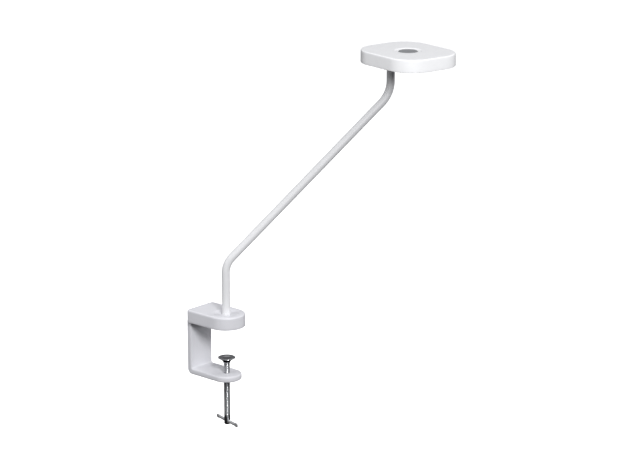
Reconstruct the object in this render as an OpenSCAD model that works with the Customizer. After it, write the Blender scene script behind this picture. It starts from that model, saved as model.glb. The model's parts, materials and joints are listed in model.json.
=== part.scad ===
// Clamp-on desk lamp. A bent tube arm swivels in a table clamp and carries a
// flat lamp head, which swivels on the arm's upper end and has a dimmer button
// on top. Millimetres. The origin is on the arm's lower swivel axis, in the
// plane that rests on the table. +Z is up, and +X points from the clamp's
// spine out over the table.

/* [Clamp] */
// Width of the cast bracket
bracket_width = 48; // [46:1:50]
// Thickness of the bracket's spine and arms
bracket_thickness = 9.6; // [9.6:0.1:11]
// From the swivel axis back to the bracket's outer face
bracket_back = 65.7; // [65:0.1:70]
// From the table seat down to the bracket's lower arm
throat_height = 80.1; // [75:0.1:90]
// Outer radius of the bracket's two rear corners
bracket_corner_r = 9; // [6:0.5:9]
// Width of the cover over the swivel
cover_width = 61; // [60:1:64]
// From the swivel axis back to the cover's rear face
cover_back = 60.8; // [60:0.1:61]
// Top of the cover above the table seat
cover_top = 21.2; // [21:0.1:22]
// Radius of the cover's rear corners
cover_corner_r = 6; // [5:0.5:8]
// Thickness of the rubber pad that rests on the table
jaw_pad_thickness = 2.2; // [2:0.1:2.2]

/* [Clamp screw] */
// Outer diameter of the screw's thread
screw_d = 10; // [8:1:10]
// Lower end of the screw, below the table seat
screw_end = 167.5; // [166:0.5:172]
// Pressure face below the table seat
disc_drop = 53.5; // [50:0.5:60]
// Diameter of the pressure disc
disc_d = 28.4; // [22:0.2:30]
// Length of the tommy bar
bar_length = 62; // [52:1:70]
// Diameter of the tommy bar
bar_d = 5; // [4:0.5:5]
// Tommy bar below the table seat
bar_drop = 162; // [152:0.5:162]
// Direction of the tommy bar, from +X
bar_azimuth = -14; // [-90:1:90]

/* [Arm] */
// Outer diameter of the tube
tube_d = 13; // [12:0.5:13]
// Wall thickness of the tube
tube_wall = 1.5; // [1:0.1:2]
// Direction in which the arm leans out, from +X
arm_azimuth = 52.5; // [0:0.5:90]
// Horizontal distance between the two swivel axes
arm_reach = 267; // [200:1:350]
// Lean of the sloping length, from upright
arm_tilt = 45; // [30:1:60]
// Height at which the lower upright and the slope meet
lower_bend_height = 103; // [60:1:150]
// Centreline radius of the lower bend
lower_bend_r = 36; // [30:1:45]
// Centreline radius of the upper bend
upper_bend_r = 50; // [30:1:60]
// From the upper bend's corner to the top of the head
head_rise = 76; // [76:1:90]

/* [Head] */
// Length of the head
head_length = 144; // [140:1:160]
// Width of the head
head_width = 120; // [116:1:140]
// Height of the head
head_height = 20.5; // [20.5:0.5:23]
// Radius of the head's corners, seen from above
head_corner_r = 43; // [38:1:50]
// From the upper swivel axis to the middle of the head
head_offset = 42.5; // [42:0.5:46]
// Direction in which the head points, from +X
head_azimuth = -11; // [-180:1:180]
// Round on the head's upper edge
head_top_edge_r = 2; // [1:0.5:2]
// Round on the head's lower edge
head_bottom_edge_r = 1; // [0.5:0.5:1]

/* [Button] */
// Diameter of the dimmer button
button_d = 30; // [28:0.2:32]
// Diameter of the dish around the button
dish_d = 45; // [42:1:48]
// Depth of the dish at the button's edge
dish_depth = 1.2; // [0.8:0.1:1.2]

/* [Light] */
// Light sources along the head
chip_columns = 7; // [4:1:8]
// Light sources across the head
chip_rows = 8; // [4:1:8]

/* [Hidden] */
$fn = 96;

paint = "#eceef0";
light_plastic = "#dcdde0";
button_grey = "#8b8d90";
black_plastic = "#2a2b2d";
rubber_grey = "#55585c";
steel = "#b9bcc0";
brass = "#c8a95a";
board_green = "#2f6b4a";
opal = "#f7f7f2";

// Fits
running_gap = 0.05;
thrust_gap = 0.05;
loose_gap = 0.3;
cut = 1;

// Clamp
seat_front = bracket_width / 2;
spine_inner = bracket_back - bracket_thickness;
tongue_bottom = jaw_pad_thickness;
tongue_top = tongue_bottom + bracket_thickness;
lower_arm_bottom = -throat_height - bracket_thickness;
inner_corner_r = 3;
neck_width = 40;
neck_back = 54;
shoulder_z = 0.2;
cover_bottom = 0.4;
cover_wall = 2.5;
cover_half = cover_width / 2;
cover_edge_r = 1.6;
cover_ceiling = cover_top - cover_wall;
cover_front_bosses = [13, 14];
cover_rear_bosses = [-39, 15];
boss_r = 3.5;
base_bottom = 0.8;
base_thickness = 2.2;

// Dish in the cover, round the arm
swivel_dish_r = 20.5;
swivel_dish_depth = 2.6;
swivel_dish_sphere_r = (pow(swivel_dish_r, 2) + pow(swivel_dish_depth, 2)) / (2 * swivel_dish_depth);

// Small screws
m3_r = 1.5;
m3_head_r = 2.75;
m3_head_h = 2;
m3_low_head_h = 1.2;
m3_free_r = 1.7;
m3_head_free_r = 3.1;
m3_bite = 5;
bezel_screw_bite = 6;
cover_screw_bite = 4.2;
terminal_hole_r = 1.8;
terminal_floor = 3;
stop_pin_bite = 3;

// Swivels: the same collar, bush radius and stop at each end of the arm
tube_r = tube_d / 2;
tube_inner_r = tube_r - tube_wall;
bush_r = 8.5;
bush_flange_r = 10;
collar_r = 9;
lug_r = 11.8;
lug_width = 4;
stop_pin_r = 1.2;
stop_radius = 10.6;
collar_screw_r = 1.25;

// Lower swivel, from the bottom up
tube_bottom = 8;
lower_bush_bottom = 7;
lower_flange_top = tongue_top + 0.6;
arm_washer_top = lower_flange_top + 0.5;
arm_collar_bottom = arm_washer_top + thrust_gap;
arm_collar_top = 16;
cover_bush_bottom = arm_collar_top + 0.1;
cover_bush_flange = 1.1;

// Lead from the clamp to the head
lead_d = 2.2;
lead_r = lead_d / 2;
lead_bend_r = 4.4;
lead_channel_z = tube_bottom - lead_bend_r;
lead_channel_width = 4;
lead_riser_x = -48.4;
lead_riser_r = 2;
plug_length = 4;

// Terminal block and grommet in the cover's rear
block_size = [10, 12, 6];
grommet_z = 15.25;
grommet_bore_r = 2;
grommet_neck_r = 3.2;
grommet_flange_r = 4.1;
grommet_flange = 1.3;

// Clamp screw
screw_r = screw_d / 2;
screw_bore_r = screw_r + running_gap;
disc_rim = 1.1;
disc_neck_r = screw_r + 0.95;
disc_height = 8.8;
disc_socket_depth = 4.8;
screw_top = -disc_drop - disc_height + disc_socket_depth - 0.05;
screw_chamfer = 1;
insert_r = 7.5;
bar_r = bar_d / 2;
bar_tip_r = 3.3;
bar_tip_thickness = 2.6;

// Arm
slope_length = arm_reach / sin(arm_tilt);
lower_tangent = lower_bend_r * tan(arm_tilt / 2);
upper_tangent = upper_bend_r * tan(arm_tilt / 2);
upper_bend_height = lower_bend_height + arm_reach / tan(arm_tilt);
head_top = upper_bend_height + head_rise;
tube_top = head_top - 8.5;
head_axis = [arm_reach * cos(arm_azimuth), arm_reach * sin(arm_azimuth)];

// Head, heights from the top down
head_bottom = head_top - head_height;
head_wall = 2.2;
head_back = head_offset - head_length / 2;
head_front = head_offset + head_length / 2;
head_ceiling = head_top - head_wall;
bezel_bottom = head_bottom + 0.5;
bezel_top = bezel_bottom + 2;
diffuser_top = bezel_top + 1.2;
chip_bottom = diffuser_top + 1.8;
led_board_bottom = chip_bottom + 0.6;
led_board_top = led_board_bottom + 1;
spreader_top = led_board_top + 1.5;
dimmer_board_bottom = spreader_top + 0.9;
dimmer_board_top = dimmer_board_bottom + 1.2;

// Upper swivel, from the top down
hub_r = 14;
hub_bottom = head_top - 15.6;
hub_cavity_r = 12.2;
hub_bush_bottom = head_top - 11.3;
head_collar_top = hub_bush_bottom - thrust_gap;
head_washer_bottom = hub_bottom + 0.6;
head_washer_top = head_washer_bottom + 0.4;
head_collar_bottom = head_washer_top + thrust_gap;
hub_cap_bottom = bezel_top + 0.2;
hub_ear_radius = 17;
hub_ear_r = 3.4;
hub_ear_angles = [90, 180, 270];
head_lead_z = tube_top + lead_bend_r;
head_stop_angle = 0;

// Light window, diffuser and boards, along the head
window_back = 18;
window_rim = 9;
window_back_r = 18;
board_edge = 1.5;
diffuser_edge = 1.6;
reflector_wall = 1.6;
chip_size = [3, 2.8];
chip_margin = [10, 14];
chip_pitch = [
    (head_front - head_wall - window_rim - window_back - 2 * chip_margin[0]) / (chip_columns - 1),
    (head_width - 2 * (head_wall + window_rim + chip_margin[1])) / (chip_rows - 1)
];
corner_screw_reach = head_corner_r - head_wall - boss_r - 0.1;
corner_screw_angle = 35;
corner_screw = [
    head_front - head_corner_r + corner_screw_reach * cos(corner_screw_angle),
    head_width / 2 - head_corner_r + corner_screw_reach * sin(corner_screw_angle)
];
bezel_screw_places = [[-8, 44], corner_screw];
spreader_screw_places = [[32, 42], [92, 20]];

// Button and its switch
button_r = button_d / 2;
button_hole_r = button_r + loose_gap;
button_top = head_top - 0.6;
button_flange_r = button_r + 2.2;
button_flange_top = head_top - 3.3;
button_flange_bottom = button_flange_top - 1.2;
button_stem_r = 3;
button_travel = 0.8;
button_boss_r = button_r + 4.2;
button_boss_bottom = head_top - 3.2;
plunger_top = dimmer_board_top + 4;
plunger_r = 1.75;
plunger_length = 1.8;
switch_size = 6;
switch_height = 3;
dimmer_board_size = [44, 30];
board_screw_places = [[-19, -12], [-19, 12], [19, -12], [19, 12]];

// ---- Shared shapes ----

// A mirrored pair about the YZ plane
module both_sides() {
    children();
    mirror([1, 0, 0]) children();
}

// Half section of a block, from its middle to its outer face, with round edges
module edge_profile(reach, height, top_r, bottom_r) {
    translate([0, bottom_r]) square([reach, height - top_r - bottom_r]);
    if (top_r > 0) {
        translate([0, height - top_r]) square([reach - top_r, top_r]);
        translate([reach - top_r, height - top_r]) circle(r = top_r);
    }
    if (bottom_r > 0) {
        square([reach - bottom_r, bottom_r]);
        translate([reach - bottom_r, bottom_r]) circle(r = bottom_r);
    }
}

// A block with round corners in plan, their radius set for back and front,
// and rounds on its upper and lower edges
module soft_block(back, front, width, back_r, front_r, bottom, top, top_r = 0, bottom_r = 0) {
    half = width / 2;
    height = top - bottom;
    translate([0, 0, bottom]) {
        translate([back + back_r, 0, 0]) rotate([90, 0, 90])
            linear_extrude(front - back - back_r - front_r)
                both_sides() edge_profile(half, height, top_r, bottom_r);
        translate([back + back_r, back_r - half, 0]) rotate([90, 0, 180])
            linear_extrude(width - 2 * back_r) edge_profile(back_r, height, top_r, bottom_r);
        if (width > 2 * front_r)
            translate([front - front_r, half - front_r, 0]) rotate([90, 0, 0])
                linear_extrude(width - 2 * front_r) edge_profile(front_r, height, top_r, bottom_r);
        for (side = [0, 1]) {
            translate([front - front_r, (1 - 2 * side) * (half - front_r), 0])
                rotate([0, 0, -90 * side]) rotate_extrude(angle = 90)
                    edge_profile(front_r, height, top_r, bottom_r);
            translate([back + back_r, (1 - 2 * side) * (half - back_r), 0])
                rotate([0, 0, 90 + 90 * side]) rotate_extrude(angle = 90)
                    edge_profile(back_r, height, top_r, bottom_r);
        }
    }
}

// A straight block that ends in a half round centred on the origin
module round_ended(back, half_width, bottom, top) {
    translate([0, 0, bottom]) linear_extrude(top - bottom) {
        translate([-back, -half_width]) square([back, 2 * half_width]);
        circle(r = half_width);
    }
}

// A tube section or washer on the Z axis
module ring(outer_r, inner_r, bottom, top) {
    translate([0, 0, bottom]) difference() {
        cylinder(r = outer_r, h = top - bottom);
        translate([0, 0, -cut]) cylinder(r = inner_r, h = top - bottom + 2 * cut);
    }
}

// A cylinder on the Z axis between two heights
module post(r, bottom, top) {
    translate([0, 0, bottom]) cylinder(r = r, h = top - bottom);
}

// Part of a turn of a round rod about the Y axis, from -X upwards. The roll
// turns its seam, so that all pieces of a bent rod have it on the same side.
module bend(d, bend_r, angle, roll) {
    rotate([90, 0, 0]) mirror([1, 0, 0])
        rotate_extrude(angle = angle) translate([bend_r, 0]) rotate(180 + roll) circle(d = d);
}

// A round rod made of steps: [length] is a straight, and [radius, angle, roll]
// is a bend that leans towards the roll direction
module bent_rod(d, steps, i = 0) {
    if (i < len(steps)) {
        step = steps[i];
        if (len(step) == 1) {
            cylinder(d = d, h = step[0]);
            translate([0, 0, step[0]]) bent_rod(d, steps, i + 1);
        } else {
            rotate([0, 0, step[2]]) translate([step[0], 0, 0]) {
                bend(d, step[0], step[1], step[2]);
                rotate([0, step[1], 0]) translate([-step[0], 0, 0]) rotate([0, 0, -step[2]])
                    bent_rod(d, steps, i + 1);
            }
        }
    }
}

// A screw that points up, with its head below `seat`
module m3_screw(seat, tip, head_h = m3_low_head_h) {
    post(m3_head_r, seat - head_h, seat);
    post(m3_r, seat, tip);
}

// The hole for such a screw through a plate, with its head sunk in the underside
module low_head_hole(bottom, top) {
    post(m3_head_free_r, bottom - cut, bottom + m3_low_head_h);
    post(m3_free_r, bottom, top + cut);
}

// Children at each place of a list, and at its mirror image across the XZ plane
module at_pairs(places) {
    for (place = places, side = [-1, 1])
        translate([place[0], side * place[1], 0]) children();
}

// Children at each place of a list
module at_places(places) {
    for (place = places) translate([place[0], place[1], 0]) children();
}

// Children in the arm's own direction
module along_arm() {
    rotate([0, 0, arm_azimuth]) children();
}

// Children on the upper swivel axis, in the arm's own direction
module on_arm_end() {
    translate([head_axis[0], head_axis[1], 0]) rotate([0, 0, arm_azimuth]) children();
}

// Children on the upper swivel axis, in the head's own direction
module on_head() {
    translate([head_axis[0], head_axis[1], 0]) rotate([0, 0, head_azimuth]) children();
}

// Children at the middle of the head
module on_button() {
    on_head() translate([head_offset, 0, 0]) children();
}

// Children at each screw ear of the head's hub
module at_hub_ears() {
    for (angle = hub_ear_angles)
        rotate([0, 0, angle]) translate([hub_ear_radius, 0, 0]) children();
}

// ---- Clamp ----

// Side view of the bracket: a C that is open towards +X
module bracket_profile() {
    difference() {
        rear_rounded(-bracket_back, lower_arm_bottom, seat_front + cut, tongue_top, bracket_corner_r);
        rear_rounded(-spine_inner, -throat_height, seat_front + 2 * cut, tongue_bottom, inner_corner_r);
    }
}

// A rectangle between two corners, with its two rear corners rounded
module rear_rounded(back, bottom, front, top, r) {
    translate([back + r, bottom]) square([front - back - r, top - bottom]);
    translate([back, bottom + r]) square([r, top - bottom - 2 * r]);
    for (z = [bottom + r, top - r])
        translate([back + r, z]) circle(r = r);
}

module c_bracket() {
    color(paint) difference() {
        intersection() {
            translate([0, bracket_width / 2, 0]) rotate([90, 0, 0])
                linear_extrude(bracket_width) bracket_profile();
            round_ended(bracket_back + cut, bracket_width / 2, lower_arm_bottom - cut, tongue_top + cut);
        }
        for (side = [-1, 1])
            translate([-bracket_back - cut, ((side - 1) * bracket_width + neck_width) / 2, shoulder_z])
                cube([bracket_back - neck_back + cut, bracket_width - neck_width, tongue_top]);
        post(bush_r, lower_bush_bottom, tongue_top + cut);
        post(lead_channel_width / 2 + lead_r, tongue_bottom - cut, lower_bush_bottom + cut);
        translate([lead_riser_x, -lead_channel_width / 2, tongue_bottom - cut])
            cube([-lead_riser_x, lead_channel_width,
                lead_channel_z + lead_channel_width / 2 + cut - tongue_bottom]);
        translate([lead_riser_x, 0, 0]) post(lead_riser_r, tongue_bottom - cut, tongue_top + cut);
        post(insert_r, lower_arm_bottom - cut, -throat_height + cut);
        translate([-stop_radius, 0, 0]) post(stop_pin_r, tongue_top - stop_pin_bite, tongue_top + cut);
        at_pairs([cover_front_bosses, cover_rear_bosses]) {
            post(m3_free_r, tongue_bottom - cut, tongue_top + cut);
            post(m3_head_free_r, tongue_bottom - cut, tongue_bottom + m3_head_h + 0.1);
        }
    }
}

module clamp_cover() {
    color(paint) difference() {
        union() {
            difference() {
                soft_block(-cover_back, cover_half, cover_width, cover_corner_r, cover_half,
                    cover_bottom, cover_top, cover_edge_r);
                soft_block(-cover_back + cover_wall, cover_half - cover_wall, cover_width - 2 * cover_wall,
                    cover_corner_r - cover_wall, cover_half - cover_wall, cover_bottom - cut, cover_ceiling);
            }
            post(swivel_dish_r + 1.5, cover_bush_bottom + cover_bush_flange, cover_ceiling + cut);
            at_pairs([cover_front_bosses, cover_rear_bosses]) post(boss_r, tongue_top, cover_ceiling + cut);
        }
        translate([0, 0, cover_top - swivel_dish_depth + swivel_dish_sphere_r])
            sphere(r = swivel_dish_sphere_r, $fn = 180);
        post(bush_r, cover_bush_bottom - cut, cover_top + cut);
        at_pairs([cover_front_bosses, cover_rear_bosses])
            post(m3_r, tongue_top - cut, tongue_top + cover_screw_bite);
        translate([-bracket_back, -neck_width / 2 - loose_gap, cover_bottom - cut])
            cube([bracket_back - spine_inner, neck_width + 2 * loose_gap,
                tongue_top + loose_gap - cover_bottom + cut]);
        translate([-cover_back - cut, 0, grommet_z]) rotate([0, 90, 0])
            cylinder(r = grommet_neck_r, h = cover_wall + 2 * cut);
    }
}

module clamp_base() {
    color(light_plastic) difference() {
        soft_block(-cover_back + cover_wall, cover_half - cover_wall, cover_width - 2 * cover_wall,
            cover_corner_r - cover_wall, cover_half - cover_wall, base_bottom, base_bottom + base_thickness);
        round_ended(neck_back + 0.1, bracket_width / 2 + 0.1,
            base_bottom - cut, base_bottom + base_thickness + cut);
        translate([-bracket_back, -neck_width / 2 - 0.1, base_bottom - cut])
            cube([bracket_back, neck_width + 0.2, base_thickness + 2 * cut]);
    }
}

module jaw_pad() {
    color(rubber_grey) round_ended(spine_inner - inner_corner_r, bracket_width / 2 - 1, 0, jaw_pad_thickness);
}

module cover_screws() {
    color(steel) at_pairs([cover_front_bosses, cover_rear_bosses])
        m3_screw(tongue_bottom + m3_head_h + 0.1, tongue_top + cover_screw_bite, m3_head_h);
}

module lower_bush() {
    color(black_plastic) {
        ring(bush_r, tube_r + running_gap, lower_bush_bottom, tongue_top);
        difference() {
            ring(bush_flange_r, tube_r + running_gap, tongue_top, lower_flange_top);
            translate([-stop_radius, 0, 0]) post(stop_pin_r + loose_gap, tongue_top - cut, tongue_top + cut);
        }
    }
}

module cover_bush() {
    color(light_plastic) {
        ring(bush_flange_r, tube_r + running_gap, cover_bush_bottom, cover_bush_bottom + cover_bush_flange);
        ring(bush_r, tube_r + running_gap,
            cover_bush_bottom + cover_bush_flange, cover_top - swivel_dish_depth + 0.2);
    }
}

module arm_washer() {
    color(steel) ring(collar_r, tube_r + loose_gap, lower_flange_top, arm_washer_top);
}

module arm_stop_pin() {
    color(steel) translate([-stop_radius, 0, 0])
        post(stop_pin_r, tongue_top - stop_pin_bite, arm_collar_top - 0.4);
}

module threaded_insert() {
    color(brass) ring(insert_r, screw_bore_r, lower_arm_bottom, -throat_height);
}

module cord_grommet() {
    color(black_plastic) translate([-cover_back, 0, grommet_z]) rotate([0, 90, 0]) {
        ring(grommet_flange_r, grommet_bore_r, -grommet_flange, 0);
        ring(grommet_neck_r, grommet_bore_r, 0, cover_wall);
        ring(grommet_neck_r + 0.2, grommet_bore_r, cover_wall, cover_wall + 1);
    }
}

module terminal_block() {
    color(light_plastic) difference() {
        translate([lead_riser_x - block_size[0] / 2, -block_size[1] / 2, tongue_top]) cube(block_size);
        for (side = [-1, 1])
            translate([lead_riser_x, side * block_size[1] / 4, tongue_top + terminal_floor])
                cylinder(r = terminal_hole_r, h = block_size[2]);
    }
}

module base_lead() {
    run = -lead_riser_x - 2 * lead_bend_r;
    rise = tongue_top - tube_bottom;
    color(black_plastic) translate([0, 0, tube_bottom]) rotate([180, 0, 0])
        bent_rod(lead_d, [[lead_bend_r, 90, 180], [run], [lead_bend_r, 90, 180], [rise]]);
}

// ---- Clamp screw ----

module pressure_disc() {
    bottom = -disc_drop - disc_height;
    color(steel) rotate_extrude() polygon([
        [0, -disc_drop], [disc_d / 2 - 0.4, -disc_drop], [disc_d / 2, -disc_drop - 0.4],
        [disc_d / 2, -disc_drop - disc_rim], [disc_neck_r + 0.6, bottom + 1.2],
        [disc_neck_r, bottom + 0.8], [disc_neck_r, bottom], [screw_bore_r, bottom],
        [screw_bore_r, bottom + disc_socket_depth], [0, bottom + disc_socket_depth]
    ]);
}

module clamp_screw() {
    color(steel) difference() {
        rotate_extrude() polygon([
            [0, -screw_end], [screw_r - screw_chamfer, -screw_end], [screw_r, -screw_end + screw_chamfer],
            [screw_r, screw_top - screw_chamfer], [screw_r - screw_chamfer, screw_top], [0, screw_top]
        ]);
        rotate([0, 0, bar_azimuth]) translate([-screw_d, 0, -bar_drop]) rotate([0, 90, 0])
            cylinder(r = bar_r + running_gap, h = 2 * screw_d);
    }
}

module tommy_bar() {
    shank = bar_length - 2 * bar_tip_r;
    color(steel) rotate([0, 0, bar_azimuth]) translate([0, 0, -bar_drop]) {
        translate([-shank / 2, 0, 0]) rotate([0, 90, 0]) cylinder(r = bar_r, h = shank);
        for (side = [-1, 1])
            translate([side * shank / 2, bar_tip_thickness / 2, 0]) rotate([90, 0, 0])
                cylinder(r = bar_tip_r, h = bar_tip_thickness);
    }
}

// ---- Arm ----

// The tube's centreline from `bottom` to `top`
function arm_steps(bottom, top) = [
    [lower_bend_height - lower_tangent - bottom],
    [lower_bend_r, arm_tilt, 0],
    [slope_length - lower_tangent - upper_tangent],
    [upper_bend_r, arm_tilt, 180],
    [top - upper_bend_height - upper_tangent]
];

module arm_tube() {
    color(paint) along_arm() difference() {
        translate([0, 0, tube_bottom]) bent_rod(tube_d, arm_steps(tube_bottom, tube_top));
        translate([0, 0, tube_bottom - cut])
            bent_rod(2 * tube_inner_r, arm_steps(tube_bottom - cut, tube_top + cut));
    }
}

module lower_plug() {
    color(black_plastic) ring(tube_inner_r, lead_r, tube_bottom, tube_bottom + plug_length);
}

module upper_plug() {
    color(black_plastic) on_arm_end() ring(tube_inner_r, lead_r, tube_top - plug_length, tube_top);
}

// A collar fixed on the tube, with a lug towards +X that meets the stop pin
module swivel_collar(bottom, top) {
    difference() {
        union() {
            post(collar_r, bottom, top);
            intersection() {
                post(lug_r, bottom, top);
                translate([0, -lug_width / 2, bottom]) cube([lug_r, lug_width, top - bottom]);
            }
        }
        post(tube_r, bottom - cut, top + cut);
        translate([0, 0, (bottom + top) / 2]) rotate([0, 90, 0])
            cylinder(r = collar_screw_r, h = lug_r + cut);
    }
}

module arm_collar() {
    color(steel) along_arm() swivel_collar(arm_collar_bottom, arm_collar_top);
}

module head_collar() {
    color(steel) on_arm_end() rotate([0, 0, 180]) swivel_collar(head_collar_bottom, head_collar_top);
}

// Grub screw through a collar's lug
module collar_screw(bottom, top) {
    translate([tube_r, 0, (bottom + top) / 2]) rotate([0, 90, 0])
        cylinder(r = collar_screw_r, h = lug_r - 0.6 - tube_r);
}

module collar_screws() {
    color(steel) {
        along_arm() collar_screw(arm_collar_bottom, arm_collar_top);
        on_arm_end() rotate([0, 0, 180]) collar_screw(head_collar_bottom, head_collar_top);
    }
}

module arm_lead() {
    color(black_plastic) along_arm() translate([0, 0, tube_bottom])
        bent_rod(lead_d, arm_steps(tube_bottom, tube_top));
}

// ---- Head ----

// A plate with the outline of the light window, grown by `edge`
module window_plate(edge, bottom, top) {
    rim = head_wall + window_rim - edge;
    soft_block(window_back - edge, head_front - rim, head_width - 2 * rim,
        window_back_r, head_corner_r - rim, bottom, top);
}

module head_cover() {
    color(paint) on_head() difference() {
        union() {
            difference() {
                soft_block(head_back, head_front, head_width, head_corner_r, head_corner_r,
                    head_bottom, head_top, head_top_edge_r, head_bottom_edge_r);
                soft_block(head_back + head_wall, head_front - head_wall, head_width - 2 * head_wall,
                    head_corner_r - head_wall, head_corner_r - head_wall, head_bottom - cut, head_ceiling);
            }
            post(hub_r, hub_bottom, head_ceiling + cut);
            at_hub_ears() post(hub_ear_r, hub_bottom, head_ceiling + cut);
            at_pairs(bezel_screw_places) post(boss_r, bezel_top, head_ceiling + cut);
            at_pairs(spreader_screw_places) post(boss_r, spreader_top, head_ceiling + cut);
            translate([head_offset, 0, 0]) {
                post(button_boss_r, button_boss_bottom, head_ceiling + cut);
                at_places(board_screw_places) post(boss_r - 0.5, dimmer_board_top, head_ceiling + cut);
            }
        }
        post(hub_cavity_r, hub_bottom - cut, hub_bush_bottom);
        post(bush_r, hub_bush_bottom - cut, head_ceiling);
        translate([0, -1.6, head_lead_z - 1.6]) cube([hub_r + cut, 3.2, 3.2]);
        rotate([0, 0, head_stop_angle]) translate([stop_radius, 0, 0])
            post(stop_pin_r, hub_bush_bottom - cut, hub_bush_bottom + stop_pin_bite);
        at_hub_ears() post(m3_r, hub_bottom - cut, hub_bottom + m3_bite);
        at_pairs(bezel_screw_places) post(m3_r, bezel_top - cut, bezel_top + bezel_screw_bite);
        at_pairs(spreader_screw_places) post(m3_r, spreader_top - cut, spreader_top + m3_bite);
        translate([head_offset, 0, 0]) {
            at_places(board_screw_places) post(m3_r, dimmer_board_top - cut, dimmer_board_top + m3_bite);
            post(button_hole_r, button_boss_bottom - cut, head_top + cut);
            translate([0, 0, head_top - dish_depth])
                cylinder(r1 = button_hole_r + 0.2, r2 = dish_d / 2, h = dish_depth + 0.001);
        }
    }
}

module hub_cap() {
    color(black_plastic) on_head() difference() {
        union() {
            post(hub_r, hub_cap_bottom, hub_bottom);
            at_hub_ears() post(hub_ear_r, hub_cap_bottom, hub_bottom);
        }
        post(bush_r, hub_cap_bottom - cut, hub_bottom + cut);
        at_hub_ears() low_head_hole(hub_cap_bottom, hub_bottom);
    }
}

module hub_cap_screws() {
    color(steel) on_head() at_hub_ears() m3_screw(hub_cap_bottom + m3_low_head_h, hub_bottom + m3_bite);
}

module hub_bush() {
    color(black_plastic) on_head() ring(bush_r, tube_r + running_gap, hub_bush_bottom, tube_top);
}

module cap_bush() {
    color(black_plastic) on_head() {
        ring(bush_r, tube_r + running_gap, hub_cap_bottom, hub_bottom);
        ring(bush_flange_r, tube_r + running_gap, hub_bottom, head_washer_bottom);
    }
}

module head_washer() {
    color(steel) on_head() ring(collar_r, tube_r + loose_gap, head_washer_bottom, head_washer_top);
}

module head_stop_pin() {
    color(steel) on_head() rotate([0, 0, head_stop_angle]) translate([stop_radius, 0, 0])
        post(stop_pin_r, head_collar_bottom + 0.4, hub_bush_bottom + stop_pin_bite);
}

module head_bezel() {
    inset = head_wall + 0.1;
    color(paint) on_head() difference() {
        soft_block(head_back + inset, head_front - inset, head_width - 2 * inset,
            head_corner_r - inset, head_corner_r - inset, bezel_bottom, bezel_top, 0, 0.5);
        window_plate(0, bezel_bottom - cut, bezel_top + cut);
        post(tube_r + 0.8, bezel_bottom - cut, bezel_top + cut);
        at_pairs(bezel_screw_places) low_head_hole(bezel_bottom, bezel_top);
    }
}

module bezel_screws() {
    color(steel) on_head() at_pairs(bezel_screw_places)
        m3_screw(bezel_bottom + m3_low_head_h, bezel_top + bezel_screw_bite);
}

module diffuser() {
    color(opal) on_head() {
        window_plate(-0.2, bezel_bottom + 0.2, bezel_top);
        window_plate(diffuser_edge, bezel_top, diffuser_top);
    }
}

module reflector() {
    color(opal) on_head() difference() {
        window_plate(diffuser_edge, diffuser_top, led_board_bottom);
        window_plate(diffuser_edge - reflector_wall, diffuser_top - cut, led_board_bottom + cut);
    }
}

module led_board() {
    color(opal) on_head() difference() {
        window_plate(board_edge, led_board_bottom, led_board_top);
        at_pairs(spreader_screw_places) post(m3_free_r, led_board_bottom - cut, led_board_top + cut);
    }
}

module led_chips() {
    first = [window_back + chip_margin[0], -(chip_rows - 1) / 2 * chip_pitch[1]];
    color("#f2e9a8") on_head()
        for (column = [0:chip_columns - 1], row = [0:chip_rows - 1])
            translate([first[0] + column * chip_pitch[0] - chip_size[0] / 2,
                first[1] + row * chip_pitch[1] - chip_size[1] / 2, chip_bottom])
                cube([chip_size[0], chip_size[1], led_board_bottom - chip_bottom]);
}

module heat_spreader() {
    color(steel) on_head() difference() {
        window_plate(board_edge, led_board_top, spreader_top);
        at_pairs(spreader_screw_places) post(m3_free_r, led_board_top - cut, spreader_top + cut);
    }
}

module spreader_screws() {
    color(steel) on_head() at_pairs(spreader_screw_places)
        m3_screw(led_board_bottom, spreader_top + m3_bite);
}

module dimmer_board() {
    color(board_green) on_button() difference() {
        translate([-dimmer_board_size[0] / 2, -dimmer_board_size[1] / 2, dimmer_board_bottom])
            cube([dimmer_board_size[0], dimmer_board_size[1], dimmer_board_top - dimmer_board_bottom]);
        at_places(board_screw_places) post(m3_free_r, dimmer_board_bottom - cut, dimmer_board_top + cut);
    }
}

module board_screws() {
    color(steel) on_button() at_places(board_screw_places) {
        post(m3_head_r, dimmer_board_bottom - 0.7, dimmer_board_bottom);
        post(m3_r, dimmer_board_bottom, dimmer_board_top + m3_bite);
    }
}

module tact_switch() {
    color(black_plastic) on_button() difference() {
        translate([-switch_size / 2, -switch_size / 2, dimmer_board_top])
            cube([switch_size, switch_size, switch_height]);
        post(plunger_r + running_gap, plunger_top - plunger_length - button_travel - 0.3, plunger_top);
    }
}

module head_lead() {
    landing = head_offset - dimmer_board_size[0] / 2 + 1.5;
    color(black_plastic) on_head() translate([0, 0, tube_top])
        bent_rod(lead_d, [
            [lead_bend_r, 90, 0], [landing - 2 * lead_bend_r], [lead_bend_r, 90, 0],
            [tube_top - dimmer_board_top]
        ]);
}

// ---- Button ----

module dimmer_button() {
    color(button_grey) on_button() {
        post(button_r, button_flange_bottom, button_top);
        ring(button_flange_r, button_r, button_flange_bottom, button_flange_top);
        post(button_stem_r, plunger_top, button_flange_bottom);
    }
}

module switch_plunger() {
    color(steel) on_button() post(plunger_r, plunger_top - plunger_length, plunger_top);
}

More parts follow.
